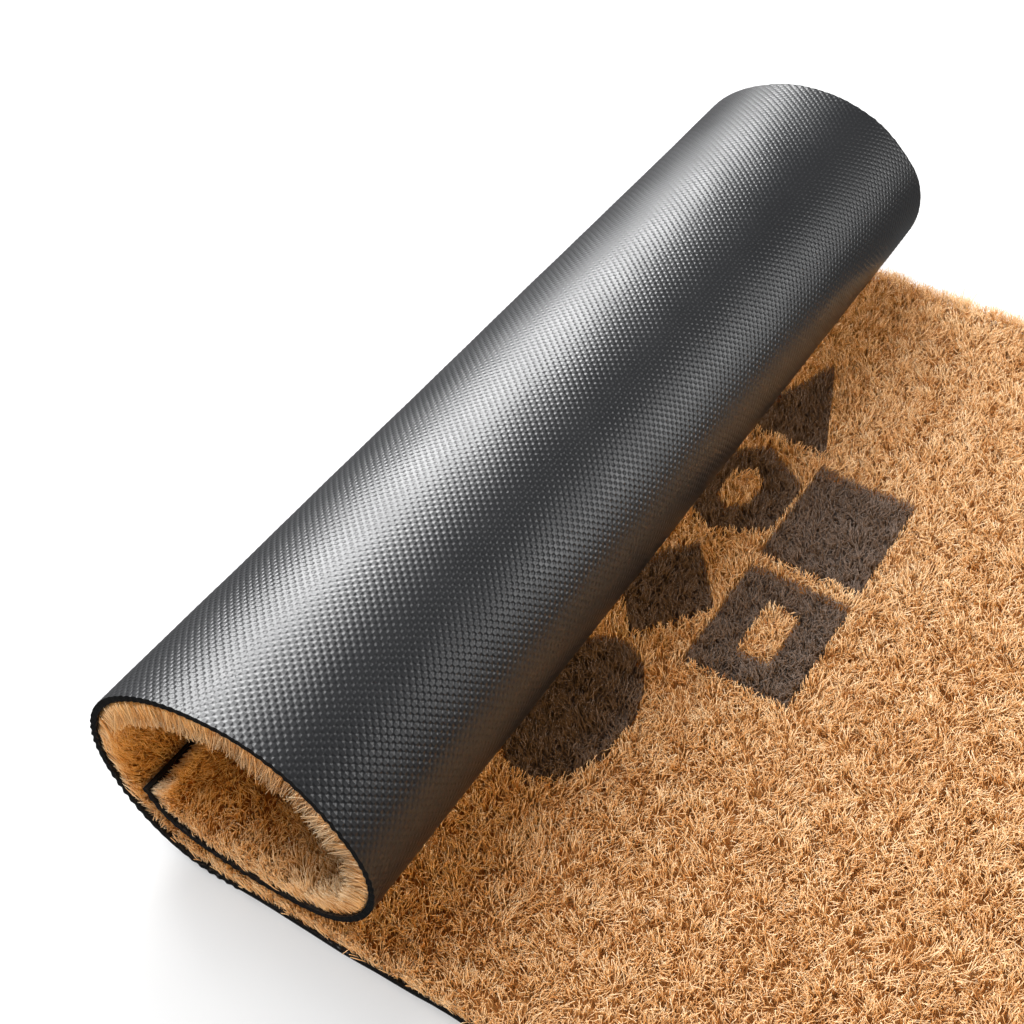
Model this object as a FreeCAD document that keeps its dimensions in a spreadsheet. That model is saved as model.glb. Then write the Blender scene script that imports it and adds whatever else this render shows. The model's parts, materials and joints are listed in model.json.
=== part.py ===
"""Coir door mat, half rolled up, as a FreeCAD document (millimetres).

The mat is one rubber backing with coir pile on its upper face. About half of its length lies flat. The
other half rolls up over it, pile inwards, in one turn and a bit. X runs along the mat's length from the
roll to the flat end, Y across its width, and Z up from the floor. The origin is the bottom centre of the
rolled mat.

A sheet bends everywhere, so the rolled half is cut into narrow strips across the mat. Each strip is a
sector of a tube, backing outside and pile inside, and turns on a hinge line that lies in the backing's
outer face where two strips meet.
"""

import FreeCAD, Part
import math
import os

# The section of the roll, along the backing's outer face from the fold, where the mat leaves the floor,
# to the free end: name of the bend, its radius, how far it turns in degrees, and its number of strips.
BENDS = [
    ("rise", 51, 70, 4),
    ("shoulder", 43, 69, 4),
    ("crown", 72, 48, 3),
    ("brow", 64, 44, 3),
    ("nose", 36, 113, 6),
    ("lap", 99, 35, 3),
    ("tail", 27, 46, 2),
]

SIZES = {
    "mat_length": 750,
    "mat_width": 450,
    "backing_thickness": 2.5,
    "pile_height": 10.5,
    "pressed_length": 30,  # flat pile beside the fold, which the free end brushes as the roll opens
    "hinge_gap": 0.3,
    "cut_margin": 5,
}

document = FreeCAD.newDocument("DoorMat")


def make_sheet():
    """The spreadsheet of driving dimensions, one row for each."""
    sheet = document.addObject("Spreadsheet::Sheet", "sizes")
    rows = dict(SIZES)
    for name, radius, turn, strips in BENDS:
        rows[name + "_radius"] = radius
        rows[name + "_turn"] = turn
        rows[name + "_strips"] = strips
    for row, (alias, value) in enumerate(rows.items(), start=1):
        sheet.set(f"A{row}", alias)
        sheet.set(f"B{row}", str(value))
        sheet.setAlias(f"B{row}", alias)
    document.recompute()
    return sheet


def bind(item, **sizes):
    """Binds the item's sizes to expressions over the sheet."""
    for size, expression in sizes.items():
        item.setExpression(size, expression)
    return item


def slab(label, start, end, thickness, underside):
    """A flat layer across the whole mat, from start to end along X, measured from the fold."""
    box = document.addObject("Part::Box", label)
    bind(box, Length=f"({end}) - ({start})", Width="sizes.mat_width", Height=thickness)
    box.Label = label
    box.setExpression(".Placement.Base.x", f"{FOLD} + {start}")
    box.setExpression(".Placement.Base.y", "-sizes.mat_width / 2")
    box.setExpression(".Placement.Base.z", underside)
    return box


def pie(name, radius, angle, length):
    """A slice of a cylinder about its own Z axis."""
    cylinder = document.addObject("Part::Cylinder", name)
    return bind(cylinder, Radius=radius, Angle=angle, Height=length)


def sector(label, radius, thickness, sweep, placement):
    """One layer of a strip: a slice of tube, made as an outer slice less a core."""
    outer = pie(label + "_outer", radius, sweep, "sizes.mat_width")
    core = pie(label + "_core", f"{radius} - {thickness}", "360", "sizes.mat_width + 2 * sizes.cut_margin")
    core.setExpression(".Placement.Base.z", "-sizes.cut_margin")
    cut = document.addObject("Part::Cut", label)
    cut.Base = outer
    cut.Tool = core
    cut.Label = label
    cut.Placement = placement
    return cut


def strip_placement(centre_x, centre_z, start_angle):
    """Turns a slice from its own XY plane into the mat's XZ plane, about the bend's centre."""
    centre = FreeCAD.Vector(centre_x, sheet.mat_width / 2, centre_z)
    upright = FreeCAD.Rotation(FreeCAD.Vector(1, 0, 0), 90)
    about_axis = FreeCAD.Rotation(FreeCAD.Vector(0, 0, 1), start_angle)
    return FreeCAD.Placement(centre, upright * about_axis)


def bend_centre(x, z, heading, radius):
    """Centre of a bend that starts at x, z on the outer face and turns towards the pile."""
    angle = math.radians(heading)
    return x + radius * math.sin(angle), z - radius * math.cos(angle)


def walk(start_x):
    """Every strip of the roll in order: (bend name, centre x, centre z, heading where it starts)."""
    x, z, heading = start_x, 0.0, 180.0
    strips = []
    for name, *_ in BENDS:
        radius = sheet.get(name + "_radius")
        count = int(sheet.get(name + "_strips"))
        step = sheet.get(name + "_turn") / count
        centre_x, centre_z = bend_centre(x, z, heading, radius)
        for _ in range(count):
            strips.append((name, centre_x, centre_z, heading))
            heading -= step
        x = centre_x - radius * math.sin(math.radians(heading))
        z = centre_z + radius * math.cos(math.radians(heading))
    return strips


def roll_overhang():
    """How far the roll reaches past the fold: the mat stands upright, heading 90, on its second bend."""
    upright_bend = next(centre_x for name, centre_x, _, _ in walk(0.0) if name == "shoulder")
    return sheet.shoulder_radius - upright_bend


def make_flat_section():
    """The half that lies on the floor. The pile beside the fold is a piece of its own."""
    half_gap = "sizes.hinge_gap / 2"
    height = "sizes.pile_height"
    thickness = "sizes.backing_thickness"
    return [
        slab("backing_flat", half_gap, FLAT_LENGTH, thickness, "0"),
        slab("pile_under_roll", half_gap, "sizes.pressed_length", height, thickness),
        slab("pile_flat", "sizes.pressed_length", FLAT_LENGTH, height, thickness),
    ]


def make_strip(number, bend, centre_x, centre_z, heading):
    """Backing and pile of one strip, each clear of the hinge lines by half the gap."""
    radius = f"sizes.{bend}_radius"
    gap_angle = f"sizes.hinge_gap / {radius} * 180 / pi"
    sweep = f"sizes.{bend}_turn / sizes.{bend}_strips - {gap_angle}"
    step = sheet.get(bend + "_turn") / sheet.get(bend + "_strips")
    half_gap = math.degrees(sheet.hinge_gap / sheet.get(bend + "_radius")) / 2
    placement = strip_placement(centre_x, centre_z, heading + 90 - step + half_gap)
    thickness = "sizes.backing_thickness"
    backing = sector(f"backing_strip_{number:02d}", radius, thickness, sweep, placement)
    inner = f"{radius} - {thickness}"
    pile = sector(f"pile_strip_{number:02d}", inner, "sizes.pile_height", sweep, placement)
    return [backing, pile]


def check(parts):
    """Stops the script if any object failed or any sub-part has no sound shape."""
    for item in document.Objects:
        if "Invalid" in item.State or "Error" in item.State:
            raise RuntimeError(f"{item.Label} failed: {item.State}")
    for part in parts:
        if part.Shape.isNull() or not part.Shape.isValid():
            raise RuntimeError(f"{part.Label} has no sound shape")
        if len(part.Shape.Solids) != 1:
            raise RuntimeError(f"{part.Label} isn't one solid")


def export(parts):
    os.makedirs("parts", exist_ok=True)
    for part in parts:
        part.Shape.exportStep(f"parts/{part.Label}.step")


sheet = make_sheet()
ROLLED_LENGTH = " + ".join(f"sizes.{name}_radius * sizes.{name}_turn * pi / 180" for name, *_ in BENDS)
FLAT_LENGTH = f"(sizes.mat_length - ({ROLLED_LENGTH}))"
rolled_length = sum(sheet.get(b[0] + "_radius") * math.radians(sheet.get(b[0] + "_turn")) for b in BENDS)
fold_x = (roll_overhang() - (sheet.mat_length - rolled_length)) / 2
FOLD = f"({fold_x})"

parts = make_flat_section()
for number, strip in enumerate(walk(fold_x), start=1):
    parts += make_strip(number, *strip)
document.recompute()
check(parts)
export(parts)
print(f"{len(parts)} sub-parts, rolled length {rolled_length:.1f}, fold at x {fold_x:.2f}")
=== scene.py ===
import json
import math

import bpy
import numpy as np
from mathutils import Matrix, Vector


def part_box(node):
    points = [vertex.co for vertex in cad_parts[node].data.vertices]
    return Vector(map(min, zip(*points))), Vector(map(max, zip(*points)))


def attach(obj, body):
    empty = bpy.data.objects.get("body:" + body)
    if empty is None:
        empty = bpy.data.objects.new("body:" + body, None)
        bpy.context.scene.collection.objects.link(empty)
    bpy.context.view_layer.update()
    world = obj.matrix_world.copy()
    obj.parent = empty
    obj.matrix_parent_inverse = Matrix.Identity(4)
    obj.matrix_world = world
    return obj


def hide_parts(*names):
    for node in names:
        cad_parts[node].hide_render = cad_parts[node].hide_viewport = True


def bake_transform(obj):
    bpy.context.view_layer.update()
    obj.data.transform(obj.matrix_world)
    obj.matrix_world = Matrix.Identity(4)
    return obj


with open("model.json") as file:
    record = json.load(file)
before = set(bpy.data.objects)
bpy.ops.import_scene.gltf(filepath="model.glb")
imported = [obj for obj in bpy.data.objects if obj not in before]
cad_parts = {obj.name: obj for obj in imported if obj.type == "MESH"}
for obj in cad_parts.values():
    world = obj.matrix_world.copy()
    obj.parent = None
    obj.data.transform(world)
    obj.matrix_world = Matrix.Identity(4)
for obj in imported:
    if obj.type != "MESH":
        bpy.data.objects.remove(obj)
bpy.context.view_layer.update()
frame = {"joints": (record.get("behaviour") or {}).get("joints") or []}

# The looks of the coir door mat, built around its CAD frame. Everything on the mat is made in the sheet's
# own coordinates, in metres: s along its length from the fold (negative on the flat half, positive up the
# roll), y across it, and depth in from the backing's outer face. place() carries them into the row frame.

# The backing.
BACKING_THICKNESS = 0.0025
WEAVE_PITCH_S = 0.00356
WEAVE_PITCH_Y = 0.00340
WEAVE_RELIEF = 0.00013  # height of the weave's knots in the mesh of the roll
WEAVE_BUMP = 0.00018  # height of their finer shape, in the material
FACES_PER_PITCH = 4
FLAT_STEP = 0.0075  # size of the backing's faces where it lies flat on the floor
EDGE_ROUGHNESS = 0.0007  # how far the cut edges wander
SAG = 0.00025  # how far the rubber wanders from a true surface on the roll
SAG_RUN_IN = 0.04  # length past the fold over which that sets in
SHARP_EDGE = math.radians(50)

# The pile. Its base is the dusty layer where the fibres are set in the rubber.
PILE_TOP = 0.0130  # depth of the pile's tips
FLAT_PILE_PIECES = 13
BASE_INSET = 0.0022  # how far the base stays inside the mat's edges
BASE_STEP_S = 0.0026
BASE_STEP_Y = 0.0030
BASE_HEIGHT = 0.0012
BASE_LUMPS = 0.0009
BASE_SUNK = 0.0003

# The fibres.
FIBRES_PER_AREA = 1.15e6
EDGE_FIBRES_PER_LENGTH = 9.0e3
FIBRE_RADIUS = 0.000175
FIBRE_RADIUS_SPREAD = (0.65, 1.25)
FIBRE_LEAN = 0.0018
FIBRE_SWAY = 0.0004  # how far a fibre's bend is off its line
TIP_TAPER = 0.7
ROOT_SUNK = 0.0016  # how deep the roots go into the rubber
ROOT_INSET = 0.0007  # how far the roots stay inside the mat's edges
TUFT_PITCH = 0.0066
TUFT_JITTER = 0.42
TUFT_SPLAY = 0.62  # how far the fibres of a tuft spread from its middle
TUFT_LEAN = 0.0018
TUFT_DOME = 0.0034  # how much lower a tuft is at its rim
TUFT_DROP = 0.0014  # how much lower the lowest tufts are
FIBRE_DROP = 0.0010
TALLEST = 0.0004  # how far the tallest fibres pass the pile's top
BEND_IN_FIELD = (0.30, 0.30, 0.76)  # where a fibre bends, as shares of its run along, across and up
BEND_AT_EDGE = (0.25, 0.25, 0.35)
EDGE_ROOTS = 0.002  # width of the rows of fibres that fill the mat's edges
EDGE_BAND = 0.005  # fibres this near to an edge lean out over it
EDGE_REACH = 0.0024
EDGE_TRIM = 0.55  # share of a fibre's overhang that was cut off with the mat's edge
STRAYS = 0.05  # share of the fibres that the cut missed
EDGE_PAINTED_LIGHT = 0.15  # how much the fibres along the mat's edges tend to the paler shades: a painted highlight standing in for light on the cut edge

# Coir shades, linear, and how common each is. Part of a fibre's shade is its own and part its tuft's.
SHADES = [
    ("straw", (0.800, 0.625, 0.410), 0.18),
    ("honey", (0.740, 0.530, 0.315), 0.26),
    ("tan", (0.680, 0.448, 0.236), 0.26),
    ("fawn", (0.605, 0.362, 0.166), 0.16),
    ("ginger", (0.520, 0.280, 0.106), 0.10),
    ("husk", (0.380, 0.180, 0.058), 0.04),
]
OWN_SHADE = 0.72
TUFT_SHADE = 0.28
INK = (0.155, 0.119, 0.098)
DUST = (0.420, 0.190, 0.060)

# The print: rows of generic shapes across the mat, as row centre y, half height, and its shapes, centred
# on the middle of the mat's length.
INK_STROKE = 0.015
SHAPE_PITCH = 0.047
SHAPE_HALF_WIDTH = 0.0225
PRINT_ROWS = [
    (0.115, 0.0300, ["diamond", "open square", "disc", "triangle"]),
    (0.046, 0.0300, ["bars", "hexagon", "open diamond", "disc", "open hexagon", "square"]),
    (-0.023, 0.0300, ["open disc", "triangle", "square", "bars", "diamond", "open square"]),
    (-0.096, 0.0380, ["hexagon", "bars", "open diamond", "disc"]),
]
BARS = 2.5
BAR_SHARE = 0.6  # how much of each bar's pitch is inked


# ---- The section of the roll ---------------------------------------------------------------------------

def read_section():
    """The roll's arcs from the record's joints: hinge points, headings, radii and arc lengths."""
    joints = frame["joints"]
    hinges = np.array([(j["pos_m"][0], j["pos_m"][2]) for j in joints])
    turns = []
    for joint in joints:
        bend = math.radians(joint["range_deg"][1])
        turns.append(2 * bend - (turns[-1] if turns else 0.0))
    turns = np.array(turns)
    chords = np.linalg.norm(np.diff(hinges, axis=0), axis=1)
    radii = chords / (2 * np.sin(turns[:-1] / 2))
    radii = np.append(radii, radii[-1])  # the last two strips share one bend
    headings = math.pi - np.concatenate([[0.0], np.cumsum(turns)])[:-1]
    arcs = np.concatenate([[0.0], np.cumsum(radii * turns)])
    return hinges, headings, radii, arcs


HINGES, HEADINGS, RADII, ARCS = read_section()
STRIPS = len(RADII)
FREE_END = ARCS[-1]
LOW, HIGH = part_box("backing_flat")
FOLD_X = HINGES[0][0]
FLAT_LENGTH = HIGH.x - FOLD_X
HALF_WIDTH = (HIGH.y - LOW.y) / 2


def place(s, y, depth):
    """Points of the sheet in the row frame."""
    s, y, depth = np.broadcast_arrays(s, y, depth)
    strip = np.clip(np.searchsorted(ARCS, s, "right") - 1, 0, STRIPS - 1)
    radius = RADII[strip]
    start = HEADINGS[strip]
    now = start - (s - ARCS[strip]) / radius
    x = HINGES[strip, 0] + radius * np.sin(start) - (radius - depth) * np.sin(now)
    z = HINGES[strip, 1] - radius * np.cos(start) + (radius - depth) * np.cos(now)
    flat = s < 0
    x = np.where(flat, FOLD_X - s, x)
    z = np.where(flat, depth, z)
    return np.stack([x, y, z], axis=-1)


def waves(s, y, seed, longest, count):
    """A smooth uneven field from -1 to 1: a few crossed waves of random direction and phase."""
    rng = np.random.default_rng(seed)
    total = np.zeros(np.broadcast(s, y).shape)
    for _ in range(count):
        angle, phase = rng.uniform(0, 2 * math.pi, 2)
        length = longest * rng.uniform(0.4, 1.0)
        along = s * math.cos(angle) + y * math.sin(angle)
        total += np.sin(2 * math.pi * along / length + phase)
    return total / count


# ---- Materials -----------------------------------------------------------------------------------------

def new_material(name, colour, roughness, specular):
    """A plain finish. Returns the material, its node tree and its shader node."""
    material = bpy.data.materials.new(name)
    material.use_nodes = True
    tree = material.node_tree
    shader = tree.nodes["Principled BSDF"]
    shader.inputs["Base Color"].default_value = (*colour, 1)
    shader.inputs["Roughness"].default_value = roughness
    shader.inputs["Specular IOR Level"].default_value = specular
    return material, tree, shader


def maths(tree, operation, *values):
    """A maths node on sockets or numbers."""
    node = tree.nodes.new("ShaderNodeMath")
    node.operation = operation
    for socket, value in zip(node.inputs, values):
        if isinstance(value, (int, float)):
            socket.default_value = value
        else:
            tree.links.new(value, socket)
    return node.outputs[0]


def add_bump(tree, shader, height, distance):
    bump = tree.nodes.new("ShaderNodeBump")
    bump.inputs["Distance"].default_value = distance
    tree.links.new(height, bump.inputs["Height"])
    tree.links.new(bump.outputs["Normal"], shader.inputs["Normal"])


def noise(tree, scale, detail, vector):
    node = tree.nodes.new("ShaderNodeTexNoise")
    node.inputs["Scale"].default_value = scale
    node.inputs["Detail"].default_value = detail
    tree.links.new(vector, node.inputs["Vector"])
    return node.outputs["Fac"]


def ripple(tree, coordinate, pitch):
    """A wave along one coordinate of the sheet."""
    return maths(tree, "COSINE", maths(tree, "MULTIPLY", coordinate, 2 * math.pi / pitch))


def weave_material():
    """Black rubber with a fine moulded weave. The weave lies on the sheet's own coordinates."""
    material, tree, shader = new_material("rubber_weave", (0.008, 0.0085, 0.010), 0.36, 0.6)
    sheet = tree.nodes.new("ShaderNodeUVMap")
    sheet.uv_map = "sheet"
    split = tree.nodes.new("ShaderNodeSeparateXYZ")
    tree.links.new(sheet.outputs["UV"], split.inputs[0])
    across = ripple(tree, split.outputs["Y"], WEAVE_PITCH_Y)
    along = ripple(tree, split.outputs["X"], WEAVE_PITCH_S)
    weave = maths(tree, "MULTIPLY", across, along)
    knots = maths(tree, "SMOOTH_MAX", weave, -0.15, 0.25)  # raised knots on a level ground
    grain = noise(tree, 900, 3, sheet.outputs["UV"])
    height = maths(tree, "ADD", knots, maths(tree, "MULTIPLY", grain, 0.3))
    add_bump(tree, shader, height, WEAVE_BUMP)
    wear = noise(tree, 28, 4, sheet.outputs["UV"])
    roughness = maths(tree, "ADD", maths(tree, "MULTIPLY", wear, 0.16), 0.28)
    tree.links.new(roughness, shader.inputs["Roughness"])
    return material


def rim_material():
    """The torn, dull edge of the rubber."""
    material, tree, shader = new_material("rubber_cut", (0.006, 0.006, 0.006), 0.8, 0.2)
    coordinates = tree.nodes.new("ShaderNodeTexCoord")
    grain = noise(tree, 1400, 3, coordinates.outputs["Object"])
    add_bump(tree, shader, grain, 0.0006)
    return material


WEAVE = weave_material()
RIM = rim_material()
COIR = [new_material("coir_" + name, colour, 0.75, 0.25)[0] for name, colour, _ in SHADES]
COIR_DUST = new_material("coir_dust", DUST, 0.95, 0.1)[0]
COIR_INK = new_material("coir_ink", INK, 0.8, 0.25)[0]
PILE_SLOTS = COIR + [COIR_DUST, COIR_INK]
DUST_SLOT = len(COIR)
INK_SLOT = len(COIR) + 1


# ---- The backing ---------------------------------------------------------------------------------------

def new_mesh(name, points, loops, sizes, slots, materials):
    """An object from plain arrays: points, the corners of all faces, and each face's corner count and
    slot."""
    mesh = bpy.data.meshes.new(name)
    mesh.vertices.add(len(points))
    mesh.vertices.foreach_set("co", points.astype(np.float32).ravel())
    mesh.loops.add(len(loops))
    mesh.loops.foreach_set("vertex_index", loops.astype(np.int32))
    mesh.polygons.add(len(sizes))
    starts = np.concatenate([[0], np.cumsum(sizes)[:-1]])
    mesh.polygons.foreach_set("loop_start", starts.astype(np.int32))
    for material in materials:
        mesh.materials.append(material)
    mesh.polygons.foreach_set("material_index", slots.astype(np.int32))
    mesh.update(calc_edges=True)
    obj = bpy.data.objects.new(name, mesh)
    bpy.context.scene.collection.objects.link(obj)
    return obj


def listed(quads):
    """One list of faces from sets of quads given as four arrays of corners each."""
    return np.concatenate([np.stack([corner.ravel() for corner in quad], axis=1) for quad in quads])


def edge_wander(s, side):
    """How far the cut side of the backing wanders in or out."""
    fine = waves(s, 0.0, seed=11 + side, longest=0.004, count=5)
    broad = waves(s, 0.0, seed=21 + side, longest=0.060, count=4)
    return EDGE_ROUGHNESS * (0.6 * fine + 0.6 * broad)


def surface_sag(s, y):
    """The rolled rubber isn't perfectly true. The flat half lies on the floor."""
    rise = np.clip(s / SAG_RUN_IN, 0, 1)
    broad = waves(s, y, seed=31, longest=0.16, count=6)
    fine = waves(s, y, seed=32, longest=0.05, count=6)
    return SAG * rise * (broad + 0.5 * fine)


def grid_lines(start, end, step):
    """Multiples of the step between two ends, and the ends themselves."""
    first = math.ceil((start + step / 3) / step)
    last = math.floor((end - step / 3) / step)
    return np.concatenate([[start], np.arange(first, last + 1) * step, [end]])


def weave_relief(s, y):
    """Height of the moulded knots on the rolled rubber's outer face, away from its cut sides."""
    knots = np.cos(2 * math.pi * s / WEAVE_PITCH_S) * np.cos(2 * math.pi * y / WEAVE_PITCH_Y)
    relief = WEAVE_RELIEF * np.maximum(knots, 0) * (s > 0)
    relief[:, [0, -1]] = 0
    return relief


def backing_faces(rows, columns):
    """Corners, corner counts and slots of a backing piece, whose outer face is a grid of points and whose
    inner face has the two sides' points alone."""
    index = np.arange(rows * columns).reshape(rows, columns)
    under = np.arange(rows * 2).reshape(rows, 2) + rows * columns
    faces = [
        (index[:-1, :-1], index[:-1, 1:], index[1:, 1:], index[1:, :-1]),
        (under[:-1, :1], under[1:, :1], under[1:, 1:], under[:-1, 1:]),
    ]
    sides = [
        (index[:-1, 0], index[1:, 0], under[1:, 0], under[:-1, 0]),
        (index[:-1, -1], under[:-1, 1], under[1:, 1], index[1:, -1]),
    ]
    faces = listed(faces)
    sides = listed(sides)
    first_end = np.concatenate([under[0], index[0, ::-1]])
    last_end = np.concatenate([index[-1], under[-1, ::-1]])
    loops = np.concatenate([faces.ravel(), sides.ravel(), first_end, last_end])
    sizes = np.concatenate([np.full(len(faces) + len(sides), 4), [len(first_end), len(last_end)]])
    slots = np.concatenate([np.full(len(faces), 0), np.full(len(sides) + 2, 1)])
    return loops, sizes, slots


def backing_piece(name, start, end):
    """A closed length of the backing. Its outer face is a fine grid. Its inner face, under the pile, spans
    the mat's width in one step."""
    rolled = end > 0
    s = grid_lines(start, end, WEAVE_PITCH_S / FACES_PER_PITCH if rolled else FLAT_STEP)
    y = grid_lines(-HALF_WIDTH, HALF_WIDTH, WEAVE_PITCH_Y / FACES_PER_PITCH if rolled else FLAT_STEP)
    grid_s, grid_y = np.meshgrid(s, y, indexing="ij")
    grid_y[:, 0] += edge_wander(s, 0)
    grid_y[:, -1] += edge_wander(s, 1)
    depth = surface_sag(grid_s, grid_y)
    sides = [0, -1]
    outer = place(grid_s, grid_y, depth - weave_relief(grid_s, grid_y)).reshape(-1, 3)
    inner = place(grid_s[:, sides], grid_y[:, sides], BACKING_THICKNESS + depth[:, sides]).reshape(-1, 3)
    loops, sizes, slots = backing_faces(len(s), len(y))
    obj = new_mesh(name, np.concatenate([outer, inner]), loops, sizes, slots, [WEAVE, RIM])
    sheet_s = np.concatenate([grid_s.ravel(), grid_s[:, sides].ravel()])
    sheet_y = np.concatenate([grid_y.ravel(), grid_y[:, sides].ravel()])
    uv = np.stack([sheet_s, sheet_y], axis=1)[loops]
    layer = obj.data.uv_layers.new(name="sheet")
    layer.uv.foreach_set("vector", uv.astype(np.float32).ravel())
    obj.data.shade_smooth()
    obj.data.set_sharp_from_angle(angle=SHARP_EDGE)
    return obj


# ---- The print -----------------------------------------------------------------------------------------

def inside(shape, x, y, half_width, half_height):
    """Whether points about a shape's middle lie in it."""
    if shape.startswith("open "):
        solid = shape.removeprefix("open ")
        hole = inside(solid, x, y, half_width - INK_STROKE, half_height - INK_STROKE)
        return inside(solid, x, y, half_width, half_height) & ~hole
    u = np.abs(x) / half_width
    v = np.abs(y) / half_height
    if shape == "disc":
        return u**2 + v**2 <= 1
    if shape == "diamond":
        return u + v <= 1
    if shape == "hexagon":
        return (u <= 1) & (v + u / 2 <= 1)
    if shape == "triangle":
        return (v <= 1) & (u <= (1 - y / half_height) / 2)
    square = (u <= 1) & (v <= 1)
    if shape == "bars":
        return square & ((y / half_height + 1) * BARS / 2 % 1 <= BAR_SHARE)
    return square


def is_printed(s, y):
    """Whether points of the pile carry ink."""
    middle = (FREE_END - FLAT_LENGTH) / 2
    inked = np.zeros(np.shape(s), bool)
    for row_y, half_height, shapes in PRINT_ROWS:
        first = -(len(shapes) - 1) / 2
        for place_in_row, shape in enumerate(shapes):
            x = middle - s - (first + place_in_row) * SHAPE_PITCH
            inked |= inside(shape, x, y - row_y, SHAPE_HALF_WIDTH, half_height)
    return inked


# ---- The pile ------------------------------------------------------------------------------------------

def tufts(s, y, rng):
    """The tuft that each fibre belongs to: the nearest of a jittered grid. Returns the tuft's middle, its
    four random traits, and the fibre's distance from the middle."""
    margin = 3  # spare tufts round the mat, so that each fibre has neighbours on all sides
    columns = int((FREE_END + FLAT_LENGTH) / TUFT_PITCH) + 2 * margin + 2
    rows = int(2 * HALF_WIDTH / TUFT_PITCH) + 2 * margin + 2
    jitter = rng.uniform(-TUFT_JITTER, TUFT_JITTER, (columns, rows, 2))
    traits = rng.uniform(0, 1, (columns, rows, 4))
    cell_s = np.floor((s + FLAT_LENGTH) / TUFT_PITCH).astype(int) + margin
    cell_y = np.floor((y + HALF_WIDTH) / TUFT_PITCH).astype(int) + margin
    best = np.full(s.shape, np.inf)
    middle = np.zeros((len(s), 2))
    trait = np.zeros((len(s), 4))
    for step_s in (-1, 0, 1):
        for step_y in (-1, 0, 1):
            i = np.clip(cell_s + step_s, 0, columns - 1)
            j = np.clip(cell_y + step_y, 0, rows - 1)
            centre_s = (i - margin + 0.5 + jitter[i, j, 0]) * TUFT_PITCH - FLAT_LENGTH
            centre_y = (j - margin + 0.5 + jitter[i, j, 1]) * TUFT_PITCH - HALF_WIDTH
            gap = np.hypot(s - centre_s, y - centre_y)
            nearer = gap < best
            best = np.where(nearer, gap, best)
            middle[nearer] = np.stack([centre_s, centre_y], axis=1)[nearer]
            trait[nearer] = traits[i, j][nearer]
    return middle, trait, best


def plant_roots(rng):
    """Where the fibres stand: all over the mat, and then in close rows along its four edges. Returns s, y
    and the number that stand all over."""
    length = FREE_END + FLAT_LENGTH
    field = int(length * 2 * HALF_WIDTH * FIBRES_PER_AREA)
    side = int(length * EDGE_FIBRES_PER_LENGTH)
    end = int(2 * HALF_WIDTH * EDGE_FIBRES_PER_LENGTH)
    reach = HALF_WIDTH - ROOT_INSET
    s = [rng.uniform(-FLAT_LENGTH + ROOT_INSET, FREE_END - ROOT_INSET, field + 2 * side)]
    y = [rng.uniform(-reach, reach, field)]
    for sign in (-1, 1):
        y.append(sign * (reach - rng.uniform(0, EDGE_ROOTS, side)))
    for edge in (-FLAT_LENGTH, FREE_END):
        inward = 1 if edge < 0 else -1
        s.append(edge + inward * (ROOT_INSET + rng.uniform(0, EDGE_ROOTS, end)))
        y.append(rng.uniform(-reach, reach, end))
    return np.concatenate(s), np.concatenate(y), field


def lean_over_edges(s, y, tip_s, tip_y, rng):
    """Tips near a cut edge lean out over it, and most of what passes it is cut off."""
    total = len(s)
    for sign in (-1, 1):
        near = np.clip(1 - (HALF_WIDTH - sign * y) / EDGE_BAND, 0, 1)
        tip_y = tip_y + sign * near * EDGE_REACH * rng.uniform(-0.2, 1.0, total) ** 2
        near = np.clip(1 - ((FREE_END if sign > 0 else FLAT_LENGTH) - sign * s) / EDGE_BAND, 0, 1)
        tip_s = tip_s + sign * near * EDGE_REACH * rng.uniform(-0.2, 1.0, total) ** 2
    trim = np.where(rng.uniform(0, 1, total) < STRAYS, 0.0, EDGE_TRIM)
    tip_y = tip_y - trim * (tip_y - np.clip(tip_y, -HALF_WIDTH, HALF_WIDTH))
    tip_s = tip_s - trim * (tip_s - np.clip(tip_s, -FLAT_LENGTH, FREE_END))
    return tip_s, tip_y


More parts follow.
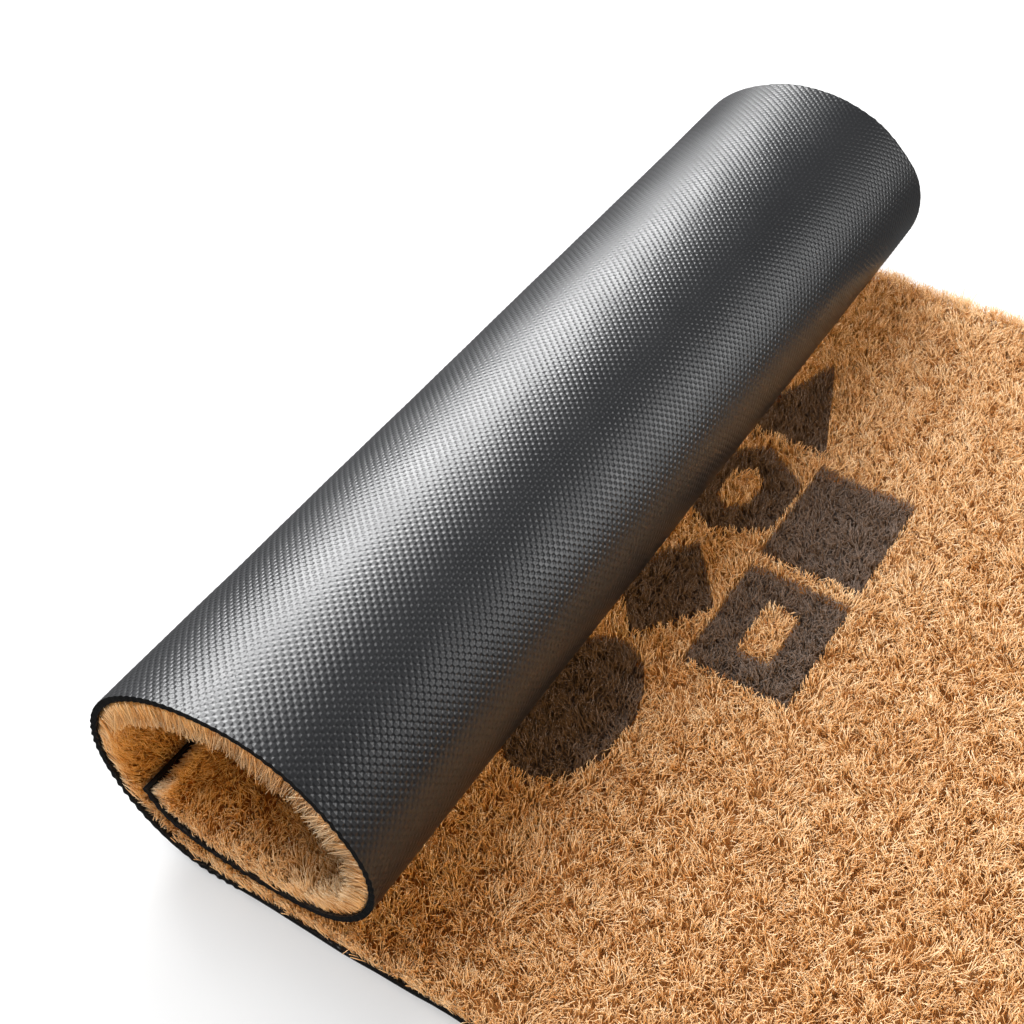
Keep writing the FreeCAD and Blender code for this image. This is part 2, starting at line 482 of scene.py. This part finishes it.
def grow_fibres():
    """Every fibre of the mat in sheet coordinates: root, bend and tip points, radius and slot."""
    rng = np.random.default_rng(7)
    s, y, field = plant_roots(rng)
    total = len(s)
    at_edge = np.arange(total) >= field
    middle, trait, gap = tufts(s, y, rng)

    angle = 2 * math.pi * trait[:, 0]
    lean = TUFT_LEAN * (0.25 + trait[:, 1])
    lean_s = lean * np.cos(angle) + rng.normal(0, FIBRE_LEAN, total)
    lean_y = lean * np.sin(angle) + rng.normal(0, FIBRE_LEAN, total)
    tip_s = s + TUFT_SPLAY * (s - middle[:, 0]) + lean_s
    tip_y = y + TUFT_SPLAY * (y - middle[:, 1]) + lean_y
    dome = np.clip(gap / TUFT_PITCH, 0, 1) ** 2
    height = PILE_TOP + TALLEST - TUFT_DROP * trait[:, 2] - TUFT_DOME * dome
    height -= np.abs(rng.normal(0, FIBRE_DROP, total))
    tip_s, tip_y = lean_over_edges(s, y, tip_s, tip_y, rng)

    root = np.stack([s, y, np.full(total, BACKING_THICKNESS - ROOT_SUNK)], axis=1)
    tip = np.stack([tip_s, tip_y, height], axis=1)
    sway = rng.normal(0, FIBRE_SWAY, (total, 3)) * (1, 1, 0)
    bend = root + (tip - root) * np.where(at_edge[:, None], BEND_AT_EDGE, BEND_IN_FIELD) + sway
    radius = FIBRE_RADIUS * rng.uniform(*FIBRE_RADIUS_SPREAD, total)

    # The ink has a crisp edge, so no fibre leans across it.
    inked = is_printed(bend[:, 0], bend[:, 1])
    for _ in range(4):
        across = is_printed(tip[:, 0], tip[:, 1]) != inked
        tip[across, :2] = (tip[across, :2] + bend[across, :2]) / 2

    shares = np.cumsum([share for _, _, share in SHADES])
    # The fibres along the edges lean to the paler shades: painted light on the cut edge.
    mix = OWN_SHADE * rng.uniform(0, 1, total) + TUFT_SHADE * trait[:, 3] - EDGE_PAINTED_LIGHT * at_edge
    order = np.argsort(np.argsort(mix)) / total
    slot = np.searchsorted(shares / shares[-1], order, "right").clip(0, len(SHADES) - 1)
    return root, bend, tip, radius, np.where(inked, INK_SLOT, slot)


def fibre_mesh_parts(root, bend, tip, radius, slot, base):
    """Points, corners, face sizes and slots of three-sided fibres: a point at the root, a ring at the bend
    and a smaller ring at the blunt tip. The corners count from base."""
    points = [root]
    for centre, run, scale in ((bend, tip - root, 1.0), (tip, tip - bend, TIP_TAPER)):
        run = run / np.linalg.norm(run, axis=1, keepdims=True)
        side = np.cross(run, (0.31, 0.95, 0.0))  # a direction that no fibre runs in
        side /= np.linalg.norm(side, axis=1, keepdims=True)
        other = np.cross(run, side)
        reach = (radius * scale)[:, None]
        for corner in range(3):
            angle = 2 * math.pi * corner / 3
            points.append(centre + reach * (math.cos(angle) * side + math.sin(angle) * other))
    points = np.stack(points, axis=1)
    cone = [0, 2, 1, 0, 3, 2, 0, 1, 3]
    sleeve = [1, 2, 5, 4, 2, 3, 6, 5, 3, 1, 4, 6]
    cap = [4, 5, 6]
    sizes = [3, 3, 3, 4, 4, 4, 3]
    count, points_each = points.shape[:2]
    firsts = np.arange(count) * points_each + base
    corners = np.array(cone + sleeve + cap)[None] + firsts[:, None]
    world = place(points[..., 0], points[..., 1], points[..., 2]).reshape(-1, 3)
    return world, corners.ravel(), np.tile(sizes, count), np.repeat(slot, len(sizes))


def base_mesh_parts(start, end):
    """Points, quads and slots of a closed length of the pile's base."""
    low = max(start, BASE_INSET - FLAT_LENGTH)
    high = min(end, FREE_END - BASE_INSET)
    count_s = max(3, round((high - low) / BASE_STEP_S)) + 1
    count_y = round(2 * HALF_WIDTH / BASE_STEP_Y) + 1
    across = np.linspace(BASE_INSET - HALF_WIDTH, HALF_WIDTH - BASE_INSET, count_y)
    s, y = np.meshgrid(np.linspace(low, high, count_s), across, indexing="ij")
    lumps = waves(s, y, seed=51, longest=0.009, count=8)
    top = BACKING_THICKNESS + BASE_HEIGHT + BASE_LUMPS * lumps
    points = np.concatenate([
        place(s, y, top).reshape(-1, 3),
        place(s, y, BACKING_THICKNESS - BASE_SUNK).reshape(-1, 3),
    ])
    index = np.arange(count_s * count_y).reshape(count_s, count_y)
    under = index + index.size
    quads = listed([
        (index[:-1, :-1], index[1:, :-1], index[1:, 1:], index[:-1, 1:]),
        (under[:-1, :-1], under[:-1, 1:], under[1:, 1:], under[1:, :-1]),
        (index[:-1, 0], under[:-1, 0], under[1:, 0], index[1:, 0]),
        (index[:-1, -1], index[1:, -1], under[1:, -1], under[:-1, -1]),
        (index[0, :-1], index[0, 1:], under[0, 1:], under[0, :-1]),
        (index[-1, :-1], under[-1, :-1], under[-1, 1:], index[-1, 1:]),
    ])
    ink_here = is_printed(s, y).ravel()[quads[:, 0] % index.size]
    return points, quads, np.where(ink_here, INK_SLOT, DUST_SLOT)


def pile_piece(name, start, end, fibres):
    """A length of the pile: its base, and the fibres that stand in it."""
    points, quads, base_slots = base_mesh_parts(start, end)
    chosen = (fibres[0][:, 0] >= start) & (fibres[0][:, 0] < end)
    chosen_fibres = [part[chosen] for part in fibres]
    tips, corners, sizes, slots = fibre_mesh_parts(*chosen_fibres, len(points))
    return new_mesh(
        name,
        np.concatenate([points, tips]),
        np.concatenate([quads.ravel(), corners]),
        np.concatenate([np.full(len(quads), 4), sizes]),
        np.concatenate([base_slots, slots]),
        PILE_SLOTS,
    )


# ---- The mat -------------------------------------------------------------------------------------------

PILE_GROUP = bpy.data.collections.new("pile")  # what the bounce light reaches


def declare_backing(obj, length, *nodes):
    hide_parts(*nodes)


def declare_pile(obj, *nodes):
    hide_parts(*nodes)
    PILE_GROUP.objects.link(obj)


def build_mat():
    """The flat half rides its body. On the roll each piece runs from the middle of one strip to the
    middle of the next, across the hinge between them."""
    fibres = grow_fibres()
    middles = (ARCS[:-1] + ARCS[1:]) / 2
    flat_start = -middles[0]
    backing = backing_piece("backing_flat_half", -FLAT_LENGTH, flat_start)
    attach(backing, "flat_section")
    declare_backing(backing, FLAT_LENGTH + flat_start, "backing_flat")
    cuts = np.linspace(-FLAT_LENGTH, flat_start, FLAT_PILE_PIECES + 1)
    for number, (start, end) in enumerate(zip(cuts[:-1], cuts[1:]), start=1):
        pile = pile_piece(f"pile_flat_half_{number}", start, end, fibres)
        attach(pile, "flat_section")
        declare_pile(pile, "pile_flat", "pile_under_roll")
    for strip in range(STRIPS):
        start = flat_start if strip == 0 else middles[strip - 1]
        end = FREE_END if strip == STRIPS - 1 else middles[strip]
        after = f"strip_{strip + 1:02d}"
        ends = [place(at, 0.0, 0.0).tolist() for at in (start, middles[strip])]
        backing = backing_piece(f"backing_bend_{strip + 1:02d}", start, end)
        pile = pile_piece(f"pile_bend_{strip + 1:02d}", start, end, fibres)
        for obj in (backing, pile):
            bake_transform(obj)
        declare_backing(backing, end - start, "backing_" + after)
        declare_pile(pile, "pile_" + after)


build_mat()


# ---- Floor, light and camera ---------------------------------------------------------------------------

FLOOR_DROP = 0.0006  # the floor lies this far under the mat
FLOOR_REACH = 12.0
FLOOR_GLOW = (0.40, 0.72)  # near the mat, and far from it
FLOOR_GLOW_FROM = (0.7, 2.8)  # distances between which the glow changes
BACKDROP_RADIUS = 14
BACKDROP_GLOW = 0.8


def glowing(name, colour, roughness, specular):
    """A stage finish that glows white. Returns the material, its node tree and its glow's strength."""
    material, tree, shader = new_material(name, colour, roughness, specular)
    shader.inputs["Emission Color"].default_value = (1, 1, 1, 1)
    return material, tree, shader.inputs["Emission Strength"]


def add_floor():
    """A pale floor that glows a little, and more far from the lights, so that it's pale all over."""
    material, tree, strength = glowing("studio_white", (0.36, 0.36, 0.36), 0.9, 0.1)
    coordinates = tree.nodes.new("ShaderNodeTexCoord")
    distance = tree.nodes.new("ShaderNodeVectorMath")
    distance.operation = "LENGTH"
    tree.links.new(coordinates.outputs["Object"], distance.inputs[0])
    glow = tree.nodes.new("ShaderNodeMapRange")
    glow.interpolation_type = "SMOOTHSTEP"
    glow.inputs["From Min"].default_value, glow.inputs["From Max"].default_value = FLOOR_GLOW_FROM
    glow.inputs["To Min"].default_value, glow.inputs["To Max"].default_value = FLOOR_GLOW
    tree.links.new(distance.outputs["Value"], glow.inputs["Value"])
    tree.links.new(glow.outputs["Result"], strength)
    mesh = bpy.data.meshes.new("floor")
    corners = [(x * FLOOR_REACH, y * FLOOR_REACH, 0) for x, y in ((-1, -1), (1, -1), (1, 1), (-1, 1))]
    mesh.from_pydata(corners, [], [(0, 1, 2, 3)])
    mesh.materials.append(material)
    floor = bpy.data.objects.new("floor", mesh)
    floor.location.z = -FLOOR_DROP
    floor.visible_glossy = False
    bpy.context.scene.collection.objects.link(floor)


def add_backdrop():
    """A pale dome far outside the lights. Only the camera sees it."""
    bpy.ops.mesh.primitive_uv_sphere_add(segments=48, ring_count=24, radius=BACKDROP_RADIUS)
    dome = bpy.context.object
    dome.name = "backdrop"
    material, _, strength = glowing("studio_backdrop", (0, 0, 0), 1.0, 0.0)
    strength.default_value = BACKDROP_GLOW
    dome.data.materials.append(material)
    dome.visible_diffuse = False
    dome.visible_glossy = False
    dome.visible_transmission = False
    dome.visible_shadow = False


def add_softbox(name, direction, distance, size, power, colour=(1, 1, 1)):
    """An area light aimed at the middle of the roll."""
    light = bpy.data.lights.new(name, "AREA")
    light.shape = "RECTANGLE"
    light.size, light.size_y = size
    light.energy = power
    light.color = colour
    lamp = bpy.data.objects.new(name, light)
    aim = Vector(((FOLD_X + LOW.x) / 2, 0, 0.04))
    lamp.location = aim + Vector(direction).normalized() * distance
    lamp.rotation_euler = (aim - lamp.location).to_track_quat("-Z", "Y").to_euler()
    bpy.context.scene.collection.objects.link(lamp)
    return lamp


def add_lights():
    """The key behind the roll gives its long highlight. The warm bounce reaches the pile alone."""
    add_softbox("key", (-0.62, 0.49, 0.50), 2.0, (1.5, 0.9), 72)
    add_softbox("rim", (0.66, 0.62, 0.42), 1.6, (0.6, 0.4), 6.5)
    add_softbox("top", (-0.45, -0.10, 0.85), 2.0, (1.4, 1.4), 62)
    bounce = add_softbox("bounce", (0.70, -0.45, 0.50), 2.0, (1.5, 1.5), 34, (1.0, 0.50, 0.08))
    bounce.visible_glossy = False
    bounce.light_linking.receiver_collection = PILE_GROUP


def set_world(strength):
    world = bpy.data.worlds.new("studio")
    world.use_nodes = True
    background = world.node_tree.nodes["Background"]
    background.inputs["Color"].default_value = (1, 1, 1, 1)
    background.inputs["Strength"].default_value = strength
    bpy.context.scene.world = world


def add_camera():
    """A view turned a third of a right angle from the roll's axis, looking down at 45 degrees."""
    turn, tilt = math.radians(32.44), math.radians(45.02)
    camera = bpy.data.cameras.new("camera")
    camera.sensor_width = 36
    camera.lens = 56.56
    viewer = bpy.data.objects.new("camera", camera)
    viewer.location = (0.0938, -0.4341, 0.5003)
    look = Vector((-math.sin(turn) * math.cos(tilt), math.cos(turn) * math.cos(tilt), -math.sin(tilt)))
    viewer.rotation_euler = look.to_track_quat("-Z", "Y").to_euler()
    bpy.context.scene.collection.objects.link(viewer)
    bpy.context.scene.camera = viewer


add_floor()
add_backdrop()
add_lights()
set_world(0.2)
add_camera()
bpy.context.scene.view_settings.view_transform = "Standard"
